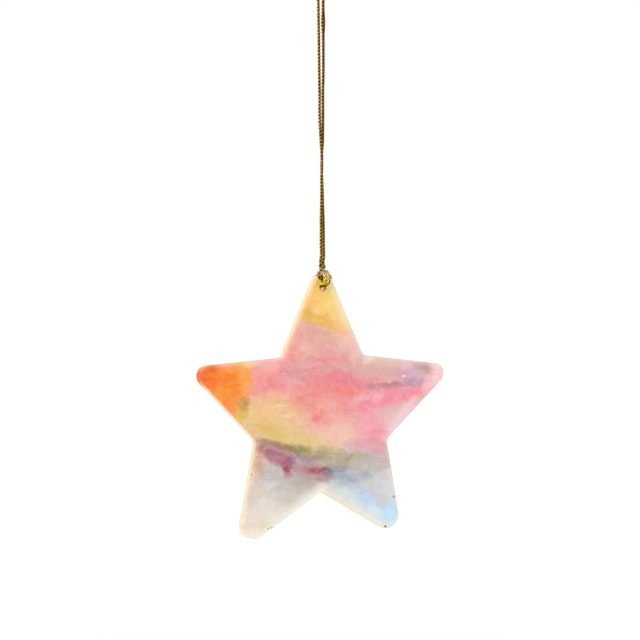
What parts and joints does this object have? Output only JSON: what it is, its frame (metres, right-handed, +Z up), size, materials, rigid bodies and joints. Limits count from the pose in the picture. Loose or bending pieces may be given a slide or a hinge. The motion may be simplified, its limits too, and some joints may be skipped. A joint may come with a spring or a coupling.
{
  "type": "hanging star ornament",
  "caption": "Flat star-shaped plate of dyed mother-of-pearl with rounded points, hung by a drilled point on a knotted loop of gold thread.",
  "frame": {"origin": "the hang point, inside the bend at the top of the thread loop", "axes": "+Z up along the hanging loop, +Y through the plate from its front face to its back, +X across the plate to the right seen from the front"},
  "size_m": [0.0771, 0.0079, 0.1662],
  "materials": {
    "nacre": "polished, slightly translucent, washed with dye on its faces",
    "thread": "twisted metallic gold"
  },
  "bodies": {
    "crown": {"loop_crown": "thread"},
    "upper_loop": {"loop_upper_left": "thread", "loop_upper_right": "thread"},
    "middle_loop": {"loop_middle_left": "thread", "loop_middle_right": "thread"},
    "lower_loop": {"loop_lower_left": "thread", "loop_lower_right": "thread", "knot_wraps": "thread", "hole_eye": "thread"},
    "star": {"star_plate": "nacre"}
  },
  "joints": [
    {"name": "loop_swing", "type": "hinge", "parent": "crown", "child": "upper_loop", "pos_m": [-0.0002, -0.00023, -0.016], "axis": [1, 0, 0], "range_deg": [-45, 45]},
    {"name": "loop_sway", "type": "hinge", "parent": "upper_loop", "child": "middle_loop", "pos_m": [-0.00012, -0.00046, -0.03], "axis": [0, 1, 0], "range_deg": [-25, 25]},
    {"name": "loop_twist", "type": "hinge", "parent": "middle_loop", "child": "lower_loop", "pos_m": [-0.00019, -0.00081, -0.054], "axis": [0, 0, 1], "range_deg": [-180, 180]},
    {"name": "star_rock", "type": "hinge", "parent": "lower_loop", "child": "star", "pos_m": [-0.0004, 0, -0.09574], "axis": [0, 1, 0], "range_deg": [-25, 25]}
  ]
}
